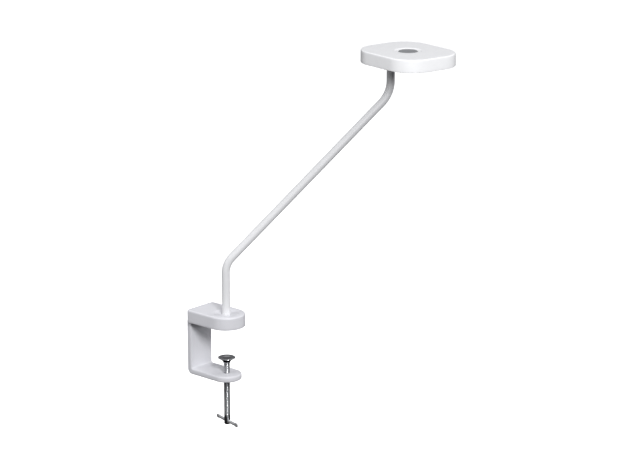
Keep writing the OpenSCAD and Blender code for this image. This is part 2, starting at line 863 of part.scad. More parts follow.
c_bracket();
clamp_cover();
clamp_base();
jaw_pad();
cover_screws();
lower_bush();
cover_bush();
arm_washer();
arm_stop_pin();
threaded_insert();
cord_grommet();
terminal_block();
base_lead();
pressure_disc();
clamp_screw();
tommy_bar();
arm_tube();
lower_plug();
upper_plug();
arm_collar();
head_collar();
collar_screws();
arm_lead();
head_cover();
hub_cap();
hub_cap_screws();
hub_bush();
cap_bush();
head_washer();
head_stop_pin();
head_bezel();
bezel_screws();
diffuser();
reflector();
led_board();
led_chips();
heat_spreader();
spreader_screws();
dimmer_board();
board_screws();
tact_switch();
head_lead();
dimmer_button();
switch_plunger();
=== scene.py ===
import json
import math

import bmesh
import bpy
from mathutils import Matrix, Vector


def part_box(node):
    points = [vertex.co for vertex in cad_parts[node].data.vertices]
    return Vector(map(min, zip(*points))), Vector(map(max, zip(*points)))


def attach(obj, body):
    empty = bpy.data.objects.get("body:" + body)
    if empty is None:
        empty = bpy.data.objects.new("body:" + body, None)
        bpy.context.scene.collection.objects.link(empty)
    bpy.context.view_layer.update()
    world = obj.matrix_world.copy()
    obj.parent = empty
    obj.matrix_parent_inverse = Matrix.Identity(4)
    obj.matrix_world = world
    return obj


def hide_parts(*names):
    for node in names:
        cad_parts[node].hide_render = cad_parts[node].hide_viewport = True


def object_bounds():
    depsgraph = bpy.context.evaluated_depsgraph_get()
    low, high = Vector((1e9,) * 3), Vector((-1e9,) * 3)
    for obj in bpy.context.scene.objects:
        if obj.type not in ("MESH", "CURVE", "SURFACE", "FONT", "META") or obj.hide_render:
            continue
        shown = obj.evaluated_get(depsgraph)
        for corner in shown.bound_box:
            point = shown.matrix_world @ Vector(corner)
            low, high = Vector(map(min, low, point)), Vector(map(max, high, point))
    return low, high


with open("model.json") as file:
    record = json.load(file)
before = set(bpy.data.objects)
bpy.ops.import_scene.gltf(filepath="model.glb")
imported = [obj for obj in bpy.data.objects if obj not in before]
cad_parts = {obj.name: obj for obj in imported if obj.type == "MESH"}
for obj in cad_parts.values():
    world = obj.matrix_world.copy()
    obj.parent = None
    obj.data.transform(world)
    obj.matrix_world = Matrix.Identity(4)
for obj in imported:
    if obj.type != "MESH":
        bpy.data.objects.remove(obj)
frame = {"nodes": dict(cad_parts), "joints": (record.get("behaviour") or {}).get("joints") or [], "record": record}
cad_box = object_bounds()

MM = 0.001
TURN = 2 * math.pi
TINY = 0.01 * MM  # what is left of a radius where an outline or a blind bore closes
AXIS_R = 0.02 * MM  # where a turned piece ends beside its axis
GAP = 0.3 * MM  # clearance round what passes through a shell
PAST = 5 * MM  # how far a cutter reaches past what it cuts
NODES = frame["nodes"]
JOINTS = {joint["name"]: joint for joint in frame["joints"]}
SLOT_OF = {part["node"]: part["material_slot"] for part in frame["record"]["subparts"]}


# ---- Places in the frame ----

head_axis = Vector(JOINTS["head_swivel"]["pos_m"])
bar_direction = Vector(JOINTS["tommy_bar_slide"]["axis"])


def middle(node):
    low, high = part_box(node)
    return (low + high) / 2


def heights(node):
    low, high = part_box(node)
    return low.z, high.z


def half_width(node):
    low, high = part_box(node)
    return (high.x - low.x) / 2


def turned(place, direction):
    """A frame at a place, with +X along a level direction."""
    return Matrix.Translation(place) @ Matrix.Rotation(math.atan2(direction.y, direction.x), 4, "Z")


button_middle = middle("dimmer_button")
head_place = Vector((head_axis.x, head_axis.y, 0))
head_middle = Vector((button_middle.x, button_middle.y, 0))
on_arm = turned(Vector((0, 0, 0)), head_axis)
on_head = turned(head_middle, head_middle - head_place)
on_bar = turned(Vector((0, 0, middle("tommy_bar").z)), bar_direction)


# ---- Materials ----

FINISHES = {}
BRUSHED_UPRIGHT = (1, 1, 0.06)
BRUSHED_ALONG = (0.08, 1, 1)
NOISE_MIDDLE = (0.3, 0.7)


def tree_of(name):
    material = bpy.data.materials.new(name)
    material.use_nodes = True
    nodes = material.node_tree.nodes
    nodes.clear()
    output = nodes.new("ShaderNodeOutputMaterial")
    shader = nodes.new("ShaderNodeBsdfPrincipled")
    material.node_tree.links.new(shader.outputs["BSDF"], output.inputs["Surface"])
    return material, material.node_tree, shader


def noise(tree, scale, detail=3, stretch=(1, 1, 1)):
    """A noise pattern on the piece's own coordinates, in metres."""
    coordinates = tree.nodes.new("ShaderNodeTexCoord")
    mapping = tree.nodes.new("ShaderNodeMapping")
    mapping.inputs["Scale"].default_value = stretch
    pattern = tree.nodes.new("ShaderNodeTexNoise")
    pattern.inputs["Scale"].default_value = scale
    pattern.inputs["Detail"].default_value = detail
    tree.links.new(coordinates.outputs["Object"], mapping.inputs["Vector"])
    tree.links.new(mapping.outputs["Vector"], pattern.inputs["Vector"])
    return pattern.outputs["Fac"]


def mapped(tree, source, span, results=(0, 1), interpolation="LINEAR"):
    """A value that goes through the results as the source goes through its span."""
    node = tree.nodes.new("ShaderNodeMapRange")
    node.interpolation_type = interpolation
    for socket, value in zip(("From Min", "From Max", "To Min", "To Max"), (*span, *results)):
        node.inputs[socket].default_value = value
    tree.links.new(source, node.inputs["Value"])
    return node.outputs["Result"]


def mixed(tree, share, empty, full, blend="MIX"):
    """A colour that goes from one to the other with the share. Each is a socket or an RGB tuple."""
    node = tree.nodes.new("ShaderNodeMix")
    node.data_type = "RGBA"
    node.blend_type = blend
    tree.links.new(share, node.inputs["Factor"])
    for socket, colour in (("A", empty), ("B", full)):
        if isinstance(colour, tuple):
            node.inputs[socket].default_value = (*colour, 1)
        else:
            tree.links.new(colour, node.inputs[socket])
    return node.outputs["Result"]


def height_of(tree, vector):
    """The Z of a place or a direction."""
    split = tree.nodes.new("ShaderNodeSeparateXYZ")
    tree.links.new(vector, split.inputs["Vector"])
    return split.outputs["Z"]


def scaled(colour, factor):
    return tuple(min(1, channel * factor) for channel in colour)


def add_finish(name, colour, rough, grain, depth, metallic=0, tone=0.97, stretch=(1, 1, 1), **sockets):
    """One finish: a slow change of tone, and a fine grain that changes the roughness and bumps the
    surface by a depth in millimetres."""
    material, tree, shader = tree_of(name)
    slow = mapped(tree, noise(tree, 60, 4, stretch), NOISE_MIDDLE)
    fine = noise(tree, grain, 4, stretch)
    tree.links.new(mixed(tree, slow, scaled(colour, tone), colour), shader.inputs["Base Color"])
    tree.links.new(mapped(tree, fine, NOISE_MIDDLE, rough), shader.inputs["Roughness"])
    bump = tree.nodes.new("ShaderNodeBump")
    bump.inputs["Strength"].default_value = 1
    bump.inputs["Distance"].default_value = depth * MM
    tree.links.new(fine, bump.inputs["Height"])
    tree.links.new(bump.outputs["Normal"], shader.inputs["Normal"])
    shader.inputs["Metallic"].default_value = metallic
    for socket, value in sockets.items():
        shader.inputs[socket.replace("_", " ")].default_value = value
    FINISHES[name] = material


def tint(name, node_type, output, span, colour):
    """Multiplies a finish by a colour as the height of a place or a direction goes through the span; used here to
    paint shade.
    """
    tree = FINISHES[name].node_tree
    shader = next(node for node in tree.nodes if node.type == "BSDF_PRINCIPLED")
    plain = shader.inputs["Base Color"].links[0].from_socket
    share = mapped(tree, height_of(tree, tree.nodes.new(node_type).outputs[output]), span)
    tree.links.new(mixed(tree, share, plain, colour, "MULTIPLY"), shader.inputs["Base Color"])


def add_paints():
    add_finish("cast_white", (0.71, 0.712, 0.75), (0.36, 0.5), 900, 0.04)
    add_finish("tube_white", (0.7, 0.705, 0.72), (0.26, 0.38), 1100, 0.02)
    add_finish("head_white", (0.86, 0.865, 0.88), (0.3, 0.42), 1300, 0.02)
    # Painted shade: the tube's white darkens from the clamp up to the head, standing in for the head's shadow on
    # the tube
    add_finish("shade_graded_white", (0.77, 0.775, 0.79), (0.26, 0.38), 1100, 0.02)
    tint("shade_graded_white", "ShaderNodeTexCoord", "Object", (0.1, 0.4), (0.7, 0.7, 0.705))


def add_plastics_and_rubbers():
    add_finish("light_plastic", (0.7, 0.7, 0.73), (0.45, 0.6), 1500, 0.03)
    add_finish("button_grey", (0.235, 0.24, 0.25), (0.4, 0.55), 1600, 0.03, tone=0.9)
    add_finish("bush_plastic", (0.03, 0.03, 0.032), (0.35, 0.5), 1200, 0.02, tone=0.8)
    add_finish("opal_plastic", (0.88, 0.88, 0.86), (0.3, 0.42), 700, 0.02,
               Subsurface_Weight=0.2, Subsurface_Scale=0.003)
    add_finish("pad_rubber", (0.05, 0.051, 0.053), (0.6, 0.8), 700, 0.06, tone=0.75)
    add_finish("black_rubber", (0.022, 0.022, 0.023), (0.5, 0.68), 900, 0.04, tone=0.8)


def add_metals():
    add_finish("chromed_steel", (0.5, 0.51, 0.53), (0.05, 0.12), 500, 0.004, metallic=1, tone=0.94)
    add_finish("thread_steel", (0.6, 0.61, 0.63), (0.18, 0.28), 500, 0.004, metallic=1, tone=0.9)
    add_finish("bar_steel", (0.72, 0.73, 0.74), (0.26, 0.38), 700, 0.006, metallic=0.7, tone=0.9)
    add_finish("zinc_steel", (0.55, 0.56, 0.58), (0.25, 0.42), 1400, 0.01, metallic=1, tone=0.85)
    # Painted shade: the disc darkens where it faces down, standing in for the dark that its polish mirrors below
    add_finish("disc_steel_shaded_below", (0.72, 0.73, 0.75), (0.12, 0.2), 500, 0.004, metallic=1,
               Specular_Tint=(0.25, 0.25, 0.26, 1))
    tint("disc_steel_shaded_below", "ShaderNodeNewGeometry", "True Normal", (0, -0.25), (0.06, 0.06, 0.065))
    add_finish("brass", (0.7, 0.5, 0.2), (0.2, 0.36), 900, 0.01, metallic=1, tone=0.85,
               stretch=BRUSHED_UPRIGHT)
    add_finish("bare_aluminium", (0.7, 0.71, 0.72), (0.3, 0.46), 800, 0.01, metallic=1, tone=0.9,
               stretch=BRUSHED_ALONG)


def add_light_board():
    add_finish("board", (0.8, 0.81, 0.79), (0.3, 0.44), 600, 0.01, Coat_Weight=0.3)
    add_finish("phosphor", (0.85, 0.68, 0.2), (0.35, 0.5), 2200, 0.03, tone=0.9)


def paint(obj, finish):
    obj.data.materials.clear()
    obj.data.materials.append(FINISHES[finish])


add_paints()
add_plastics_and_rubbers()
add_metals()
add_light_board()
for name, node in NODES.items():
    paint(node, SLOT_OF[name])
paint(NODES["head_bezel"], "head_white")
paint(NODES["threaded_insert"], "cast_white")


# ---- Mesh making ----

def on_circle(r, angle, z):
    return Vector((r * math.cos(angle), r * math.sin(angle), z))


def circle(r, z, segments):
    return [on_circle(r, TURN * i / segments, z) for i in range(segments)]


def arc(centre, r, start, end, steps):
    """Points of a flat arc, its angles in degrees."""
    turn = [math.radians(start + (end - start) * i / steps) for i in range(steps + 1)]
    return [(centre[0] + r * math.cos(a), centre[1] + r * math.sin(a)) for a in turn]


def eased(corners, steps=5):
    """An open outline of (x, y, radius) corners, with an arc of that radius at each."""
    points = []
    for i, (x, y, r) in enumerate(corners):
        here = Vector((x, y))
        if r == 0 or i in (0, len(corners) - 1):
            points.append((x, y))
            continue
        before = (Vector(corners[i - 1][:2]) - here).normalized()
        after = (Vector(corners[i + 1][:2]) - here).normalized()
        half = before.angle(after) / 2
        centre = here + (before + after).normalized() * (r / math.sin(half))
        reach = r / math.tan(half)
        first, last = here + before * reach - centre, here + after * reach - centre
        swing = first.angle_signed(last)
        for k in range(steps + 1):
            points.append(tuple(centre + Matrix.Rotation(-swing * k / steps, 2) @ first))
    return points


def soft_corner(inset, z, size, rise):
    """Three (inset, z) points round a corner, from the wall above or below it (rise 1 or -1)."""
    return [(inset, z + rise * size), (inset + 0.3 * size, z + 0.3 * rise * size), (inset + size, z)]


def rings_mesh(name, rings, closed=False):
    """Quads between rings of points. A closed set joins its last ring to its first, and an open
    one is capped."""
    mesh = bmesh.new()
    rows = [[mesh.verts.new(p) for p in ring] for ring in rings]
    pairs = list(zip(rows, rows[1:] + rows[:1])) if closed else list(zip(rows, rows[1:]))
    for low, high in pairs:
        count = len(low)
        for i in range(count):
            j = (i + 1) % count
            mesh.faces.new((low[i], low[j], high[j], high[i]))
    if not closed:
        mesh.faces.new(rows[0][::-1])
        mesh.faces.new(rows[-1])
    bmesh.ops.recalc_face_normals(mesh, faces=mesh.faces)
    return to_object(name, mesh)


def to_object(name, mesh):
    data = bpy.data.meshes.new(name)
    mesh.to_mesh(data)
    mesh.free()
    obj = bpy.data.objects.new(name, data)
    bpy.context.scene.collection.objects.link(obj)
    return obj


def lathe(name, profile, segments=72, closed=False):
    """A turned piece from (radius, height) points. Open profiles start and end near the axis."""
    return rings_mesh(name, [circle(r, z, segments) for r, z in profile], closed)


def smooth(obj, angle=35):
    """Smooth shading, with sharp edges only where faces meet steeply."""
    obj.data.shade_smooth()
    obj.data.set_sharp_from_angle(angle=math.radians(angle))
    return obj


def applied(obj):
    """Bakes the modifiers of obj into its mesh."""
    bpy.context.view_layer.update()
    graph = bpy.context.evaluated_depsgraph_get()
    data = bpy.data.meshes.new_from_object(obj.evaluated_get(graph))
    obj.modifiers.clear()
    obj.data = data
    return obj


def combined(obj, other, operation):
    """Adds, cuts or keeps what `other` covers, and removes `other`."""
    modifier = obj.modifiers.new(operation, "BOOLEAN")
    modifier.operation = operation
    modifier.solver = "EXACT"
    modifier.object = other
    applied(obj)
    bpy.data.objects.remove(other)
    return obj


def joined(obj, *others):
    """Puts separate shells in one object."""
    mesh = bmesh.new()
    for source in (obj, *others):
        mesh.from_mesh(source.data)
    mesh.to_mesh(obj.data)
    mesh.free()
    for other in others:
        bpy.data.objects.remove(other)
    return obj


def placed(obj, matrix):
    obj.data.transform(matrix)
    return obj


def cylinder(r, low, high, segments=48):
    return lathe("cutter", [(r, low), (r, high)], segments)


def block(low, high):
    corners = [(low[0], low[1]), (high[0], low[1]), (high[0], high[1]), (low[0], high[1])]
    return rings_mesh("cutter", [[Vector((x, y, z)) for x, y in corners] for z in (low[2], high[2])])


def screw_boss(x, y, low, high, outer_r=3.5 * MM, bore_r=1.5 * MM, depth=5 * MM):
    """A post with a blind bore for a screw in its lower end."""
    profile = [(bore_r, low), (outer_r, low), (outer_r, high), (TINY, high),
               (TINY, low + depth), (bore_r, low + depth)]
    return placed(lathe("boss", profile, 32, closed=True), Matrix.Translation((x, y, 0)))


def piece(obj, name, body, node, finish=None):
    """Names a finished piece, puts it on its body, and lets it stand for its CAD node."""
    obj.name = name
    obj.data.name = name
    slot = SLOT_OF[node]
    paint(obj, finish or slot)
    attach(obj, body)
    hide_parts(node)
    return obj


# ---- Outlines in plan ----

SHORTEST_SIDE = 0.5 * MM


def corner_outline(corners, inset, arc_steps=16, side_steps=8):
    """A closed outline of (centre x, centre y, radius, start angle) quarter turns, drawn in by inset."""
    quarters = [arc((x, y), max(r - inset, TINY), start, start + 90, arc_steps)
                for x, y, r, start in corners]
    points = []
    for quarter, following in zip(quarters, quarters[1:] + quarters[:1]):
        points += quarter
        last, first = quarter[-1], following[0]
        if math.dist(last, first) > SHORTEST_SIDE:
            points += [(last[0] + (first[0] - last[0]) * k / side_steps,
                        last[1] + (first[1] - last[1]) * k / side_steps) for k in range(1, side_steps)]
    return points


def at_height(points, z):
    return [Vector((x, y, z)) for x, y in points]


def circle_along(points, r, z):
    """A circle with its points at the same bearings as an outline's."""
    return [Vector((x, y, 0)).normalized() * r + Vector((0, 0, z)) for x, y in points]


def shell_rings(outline, bore, skin):
    """Rings from (radius, z) points on round parts, then (inset, z) points on the outline."""
    bearings = outline(0)
    return ([circle_along(bearings, r, z) for r, z in bore]
            + [at_height(outline(inset), z) for inset, z in skin])


# ---- Clamp ----

bracket_low, bracket_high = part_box("c_bracket")
pad_low, pad_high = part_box("jaw_pad")
cover_low, cover_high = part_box("clamp_cover")
BRACKET_WALL = 9.6 * MM
BRACKET_CORNER = 9 * MM
BRACKET_INNER_CORNER = 3 * MM
CASTING_ROUND = 2.4 * MM
NECK_HALF = 20 * MM
NECK_BACK = -54 * MM
SHOULDER_Z = 0.2 * MM
BUSH_R = 8.5 * MM
BUSH_FLANGE = 1.1 * MM
# The cover's four screws, as (x, distance to each side)
COVER_SCREWS = ((13 * MM, 14 * MM), (-39 * MM, 15 * MM))


def c_outline():
    """Side view of the bracket, as (x, z)."""
    back, front = bracket_low.x, bracket_high.x + 1 * MM
    low, high = bracket_low.z, bracket_high.z
    inner, arm_top, tongue = back + BRACKET_WALL, low + BRACKET_WALL, high - BRACKET_WALL
    return eased([
        (front, low, 0), (back, low, BRACKET_CORNER), (back, high, BRACKET_CORNER), (front, high, 0),
        (front, tongue, 0), (inner, tongue, BRACKET_INNER_CORNER), (inner, arm_top, BRACKET_INNER_CORNER),
        (front, arm_top, 0),
    ], 14)


def make_bracket():
    """The C, cut to its plan, rounded like a casting, then stepped at the neck and bored."""
    half = bracket_high.y
    side = c_outline()
    casting = rings_mesh("casting", [[Vector((x, y, z)) for x, z in side] for y in (-half, half)])
    rear, wide = bracket_low.x - PAST, half + PAST
    below, above = bracket_low.z - PAST, bracket_high.z + PAST
    plan = arc((0, 0), half, -90, 90, 64) + [(0, wide), (rear, wide), (rear, -wide), (0, -wide)]
    combined(casting, rings_mesh("plan", [at_height(plan, z) for z in (below, above)]), "INTERSECT")
    bevel = casting.modifiers.new("rounds", "BEVEL")
    bevel.width = CASTING_ROUND
    bevel.segments = 5
    bevel.limit_method = "ANGLE"
    bevel.angle_limit = math.radians(40)
    bevel.use_clamp_overlap = False
    applied(casting)
    for sign in (-1, 1):
        edges = sorted((sign * NECK_HALF, sign * wide))
        step = block((rear, edges[0], SHOULDER_Z), (NECK_BACK, edges[1], above))
        combined(casting, step, "DIFFERENCE")
    insert_r = half_width("threaded_insert")
    combined(casting, cylinder(BUSH_R, heights("lower_bush")[0], above, 72), "DIFFERENCE")
    combined(casting, cylinder(insert_r, below, bracket_low.z + BRACKET_WALL + PAST, 72), "DIFFERENCE")
    return piece(smooth(casting, 30), "bracket_casting", "clamp", "c_bracket")


def cover_outline(inset):
    half = cover_high.y
    rear, r = cover_low.x, 6 * MM
    return corner_outline([
        (0, 0, half, -90), (0, 0, half, 0),
        (rear + r, half - r, r, 90), (rear + r, -half + r, r, 180),
    ], inset)


def make_cover():
    """A thin D-shaped shell with a shallow dish round the arm, its bush boss and four screw posts."""
    top, low = cover_high.z, cover_low.z
    wall, lip, foot, fillet = 2.5 * MM, 2.6 * MM, 0.5 * MM, 1 * MM
    ceiling = top - wall
    boss_low = heights("cover_bush")[0] + BUSH_FLANGE
    dish_r, dish_depth, steps = 20.5 * MM, 2.6 * MM, 14
    ball = (dish_r ** 2 + dish_depth ** 2) / (2 * dish_depth)

    def dish_z(r):
        return top - dish_depth + ball - math.sqrt(ball ** 2 - r ** 2)

    dish_start, dish_end = BUSH_R + GAP, dish_r - 0.5 * MM
    dish = [dish_start + (dish_end - dish_start) * k / steps for k in range(steps + 1)]
    bore = [(BUSH_R, boss_low), (BUSH_R, dish_z(BUSH_R) - GAP)]
    bore += [(r, dish_z(r)) for r in dish]
    bore += [(dish_r, top - 0.03 * MM), (dish_r + 0.7 * MM, top), (dish_r + 2.5 * MM, top)]
    skin = [(4 * MM, top)]
    skin += [(lip - x, top - lip + z) for x, z in arc((0, 0), lip, 90, 0, 7)]
    skin += [(0, top - 5 * MM), (0, low + 4 * MM)] + soft_corner(0, low, foot, 1)
    skin += [(wall - GAP, low), (wall, low + GAP), (wall, low + 4 * MM)]
    skin += soft_corner(wall, ceiling, fillet, -1)
    boss_r = dish_r + 1.5 * MM
    inner_boss = [(boss_r, ceiling), (boss_r, boss_low), (BUSH_R + 1 * MM, boss_low)]
    rings = shell_rings(cover_outline, bore, skin)
    rings += [circle_along(cover_outline(0), r, z) for r, z in inner_boss]
    cover = rings_mesh("cover", rings, closed=True)
    slot = block((cover_low.x - PAST, -NECK_HALF - GAP, low - PAST),
                 (bracket_low.x + BRACKET_WALL, NECK_HALF + GAP, bracket_high.z + GAP))
    combined(cover, slot, "DIFFERENCE")
    inlet_r = 3 * MM
    in_rear_wall = Matrix.Translation((cover_low.x + wall / 2, 0, middle("cord_grommet").z))
    inlet = placed(cylinder(inlet_r, -PAST, PAST), in_rear_wall @ Matrix.Rotation(TURN / 4, 4, "Y"))
    combined(cover, inlet, "DIFFERENCE")
    joined(cover, *[screw_boss(x, sign * y, bracket_high.z, ceiling + GAP, depth=4.2 * MM)
                    for x, y in COVER_SCREWS for sign in (-1, 1)])
    return piece(smooth(cover), "cover_shell", "clamp", "clamp_cover")


def make_jaw_pad():
    """The rubber pad, with moulded grip ribs across its underside."""
    half = pad_high.y
    back, low, high = pad_low.x, pad_low.z, pad_high.z
    edge, corner, rim = 0.5 * MM, 2 * MM, 3 * MM

    def outline(inset):
        return corner_outline([(0, 0, half, -90), (0, 0, half, 0),
                               (back + corner, half - corner, corner, 90),
                               (back + corner, -half + corner, corner, 180)], inset, 12, 6)

    skin = soft_corner(0, low, edge, 1)[::-1] + [(0, high)]
    pad = rings_mesh("pad", [at_height(outline(inset), z) for inset, z in skin])
    first, count, pitch, groove, depth = back + 6 * MM, 15, 4.6 * MM, 1.1 * MM, 0.7 * MM
    for i in range(count):
        x = first + i * pitch
        reach = half - rim if x < 0 else math.sqrt(max((half - rim) ** 2 - x * x, 0))
        if reach > rim:
            cut = block((x - groove / 2, -reach, low - PAST), (x + groove / 2, reach, low + depth))
            combined(pad, cut, "DIFFERENCE")
    return piece(smooth(pad), "grip_pad", "clamp", "jaw_pad")


# ---- Clamp screw ----

def make_screw():
    """The screw, with a rolled thread above a plain end for the bar."""
    low, high = heights("clamp_screw")
    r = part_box("clamp_screw")[1].x
    chamfer, bar_hole_r = 1 * MM, 2.55 * MM
    plain_top = low + 15 * MM
    pitch, depth, run_out = 1.5 * MM, 0.42 * MM, 2
    crest, flank = 0.14, 0.26  # half the crest and one flank, as shares of the pitch
    segments, per_turn = 48, 10

    def thread_ring(z):
        fade = min(1, (z - plain_top) / (run_out * pitch))
        ring = []
        for i in range(segments):
            share = (z / pitch - i / segments) % 1
            cut = max(0, min(1, (abs(share - 0.5) - crest) / flank))
            ring.append(on_circle(r - depth * cut * fade, TURN * i / segments, z))
        return ring

    rings = [circle(r - chamfer, low, segments), circle(r, low + chamfer, segments),
             circle(r, plain_top - 0.5 * MM, segments)]
    count = int((high - chamfer - plain_top) / pitch * per_turn)
    rings += [thread_ring(plain_top + k * pitch / per_turn) for k in range(count + 1)]
    rings.append(circle(r - chamfer, high, segments))
    screw = rings_mesh("screw", rings)
    hole = placed(cylinder(bar_hole_r, -2 * PAST, 2 * PAST), on_bar @ Matrix.Rotation(TURN / 4, 4, "Y"))
    combined(screw, hole, "DIFFERENCE")
    return piece(smooth(screw, 50), "threaded_screw", "screw", "clamp_screw", "thread_steel")


def make_disc():
    """A flared neck with a socket for the screw's end, and a round-edged face with a turned recess."""
    low, high = heights("pressure_disc")
    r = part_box("pressure_disc")[1].x
    neck, bore, socket, chamfer = 5.95 * MM, 5.05 * MM, 4.8 * MM, 0.2 * MM
    profile = [(AXIS_R, low + socket), (bore, low + socket), (bore, low + chamfer),
               (bore + chamfer, low), (neck - GAP, low), (neck, low + GAP)]
    flare_low, flare_high, flare_r = low + 1.2 * MM, high - 1.2 * MM, r - 0.5 * MM
    steps, curve = 12, 1.5
    profile += [(neck + (flare_r - neck) * (k / steps) ** curve,
                 flare_low + (flare_high - flare_low) * k / steps) for k in range(steps + 1)]
    rim = 0.9 * MM
    profile += [(r - 0.15 * MM, high - 1.05 * MM)]
    profile += [(r - rim + x, high - rim + z) for x, z in arc((0, 0), rim, 0, 90, 8)]
    recess_r, recess, rings = 7 * MM, 0.5 * MM, 10
    ball = (recess_r ** 2 + recess ** 2) / (2 * recess)
    profile += [(r - 3 * MM, high), (recess_r + 1 * MM, high)]
    for k in range(rings + 1):
        x = recess_r + (AXIS_R - recess_r) * k / rings
        profile.append((x, high - recess + ball - math.sqrt(ball ** 2 - x * x)))
    # The disc's finish carries painted shade on its downward faces
    return piece(smooth(lathe("disc", profile, 96), 45), "swivel_disc", "pad", "pressure_disc",
                 "disc_steel_shaded_below")


def make_bar():
    """The bar, drawn flat into an upright round paddle at each end."""
    low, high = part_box("tommy_bar")
    r, tip_r, tip_half = 2.5 * MM, 3.3 * MM, 1.3 * MM
    half = tip_r + ((high.x - low.x) / 2 - tip_r) / bar_direction.x
    flat_from, flat_over = half - 9 * MM, 5 * MM
    steps, segments = 60, 40

    def power(value, exponent):
        return math.copysign(abs(value) ** exponent, value)

    sections = []
    for k in range(steps + 1):
        x = half * math.sin((k / steps * 2 - 1) * TURN / 4)
        flat = max(0, min(1, (abs(x) - flat_from) / flat_over))
        flat = flat * flat * (3 - 2 * flat)
        over = max(0, abs(x) - (half - tip_r)) / tip_r
        wide = (r + (tip_r - r) * flat) * math.sqrt(max(1 - over ** 2, 0.0004))
        thick = (r + (tip_half - r) * flat) * (max(1 - over ** 6, 0) ** 0.5 * 0.999 + 0.001)
        squareness = (2 - 0.9 * flat) / 2
        turn = [TURN * i / segments for i in range(segments)]
        sections.append([Vector((x, power(math.cos(a), squareness) * thick,
                                 power(math.sin(a), squareness) * wide)) for a in turn])
    bar = placed(rings_mesh("bar", sections), on_bar)
    return piece(smooth(bar, 50), "swaged_bar", "bar", "tommy_bar", "bar_steel")


# ---- Arm ----

LOWER_BEND_Z = 103 * MM
LOWER_BEND_R = 36 * MM
UPPER_BEND_R = 50 * MM
TILT = TURN / 8
TUBE_R = 6.5 * MM
TUBE_WALL = 1.5 * MM


def arm_line():
    """(distance out, height, lean) along the arm's centreline."""
    low, high = heights("arm_tube")
    reach = math.hypot(head_axis.x, head_axis.y)
    lower_start = LOWER_BEND_Z - LOWER_BEND_R * math.tan(TILT / 2)
    upper_end = LOWER_BEND_Z + reach / math.tan(TILT) + UPPER_BEND_R * math.tan(TILT / 2)
    steps = 20
    leans = [TILT * k / steps for k in range(steps + 1)]
    return ([(0, low, 0)]
            + [(LOWER_BEND_R * (1 - math.cos(a)), lower_start + LOWER_BEND_R * math.sin(a), a)
               for a in leans]
            + [(reach - UPPER_BEND_R * (1 - math.cos(a)), upper_end - UPPER_BEND_R * math.sin(a), a)
               for a in reversed(leans)]
            + [(reach, high, 0)])


def make_tube():
    """The bent pipe, outside and inside, with its two ends softened."""
    inner, soft, segments = TUBE_R - TUBE_WALL, 0.3 * MM, 64
    start, *bends, end = arm_line()

    def ring(out, z, lean, radius):
        lift = on_arm @ Matrix.Translation((out, 0, z)) @ Matrix.Rotation(lean, 4, "Y")
        return [lift @ point for point in circle(radius, 0, segments)]

    rings = [ring(*start, TUBE_R - soft), ring(0, start[1] + soft, 0, TUBE_R)]
    rings += [ring(*point, TUBE_R) for point in bends]
    rings += [ring(end[0], end[1] - soft, 0, TUBE_R), ring(*end, TUBE_R - soft), ring(*end, inner)]
    rings += [ring(*point, inner) for point in reversed([start] + bends)]
    # The tube's finish carries painted shade that darkens it towards the head
    return piece(smooth(rings_mesh("tube", rings, closed=True)), "arm_pipe", "arm", "arm_tube",
                 "shade_graded_white")


# ---- Head ----

head_bottom, head_top = heights("head_cover")
HEAD_HALF_LENGTH = 72 * MM
HEAD_HALF_WIDTH = 60 * MM
HEAD_CORNER = 43 * MM
SWIVEL_X = -(head_middle - head_place).length
HEAD_WALL = 2.2 * MM
BUTTON_FLANGE = 2.2 * MM
BUTTON_R = half_width("dimmer_button") - BUTTON_FLANGE
# Screws as (distance from the swivel axis, distance to each side)
BEZEL_SCREWS = ((-8 * MM, 44 * MM), (101.97 * MM, 38.34 * MM))
SPREADER_SCREWS = ((32 * MM, 42 * MM), (92 * MM, 20 * MM))
# Screws as (distance from the button's middle, distance to each side)
BOARD_SCREWS = ((-19 * MM, 12 * MM), (19 * MM, 12 * MM))
HUB_SCREW_R = 17 * MM


def head_outline(inset):
    x, y = HEAD_HALF_LENGTH - HEAD_CORNER, HEAD_HALF_WIDTH - HEAD_CORNER
    return corner_outline([(x, -y, HEAD_CORNER, -90), (x, y, HEAD_CORNER, 0),
                           (-x, y, HEAD_CORNER, 90), (-x, -y, HEAD_CORNER, 180)], inset, 22, 6)


def head_shell():
    """The hollow head, open below, with a dish and a collar round the button's hole."""
    top, low = head_top, head_bottom
    hole = BUTTON_R + GAP
    dish_r, dish_depth, collar_r = 22.5 * MM, 1.2 * MM, hole + 3.9 * MM
    edge, foot, lip, fillet = 2 * MM, 1 * MM, 0.2 * MM, 1 * MM
    ceiling = top - HEAD_WALL
    boss_low = top - 3.2 * MM
    dish = eased([(hole, top - dish_depth - 0.9 * MM, 0), (hole, top - dish_depth, 0.3 * MM),
                  (dish_r - 3.4 * MM, top - dish_depth + 0.2 * MM, 1.2 * MM),
                  (dish_r, top, 0.8 * MM), (dish_r + 8 * MM, top, 0)], 6)
    skin = [(12 * MM, top), (5 * MM, top)]
    skin += [(edge - x, top - edge + z) for x, z in arc((0, 0), edge, 90, 0, 9)]
    skin += [(0, top - 6 * MM), (0, low + 6 * MM)]
    skin += [(foot - x, low + foot + z) for x, z in arc((0, 0), foot, 0, -90, 6)]
    skin += [(HEAD_WALL - lip, low), (HEAD_WALL, low + lip), (HEAD_WALL, low + 5 * MM)]
    skin += soft_corner(HEAD_WALL, ceiling, fillet, -1) + [(12 * MM, ceiling)]
    collar = [(collar_r, ceiling), (collar_r, boss_low), (hole + 1 * MM, boss_low)]
    rings = shell_rings(head_outline, [(hole, boss_low)] + dish, skin)
    rings += [circle_along(head_outline(0), r, z) for r, z in collar]
    return rings_mesh("head", rings, closed=True)


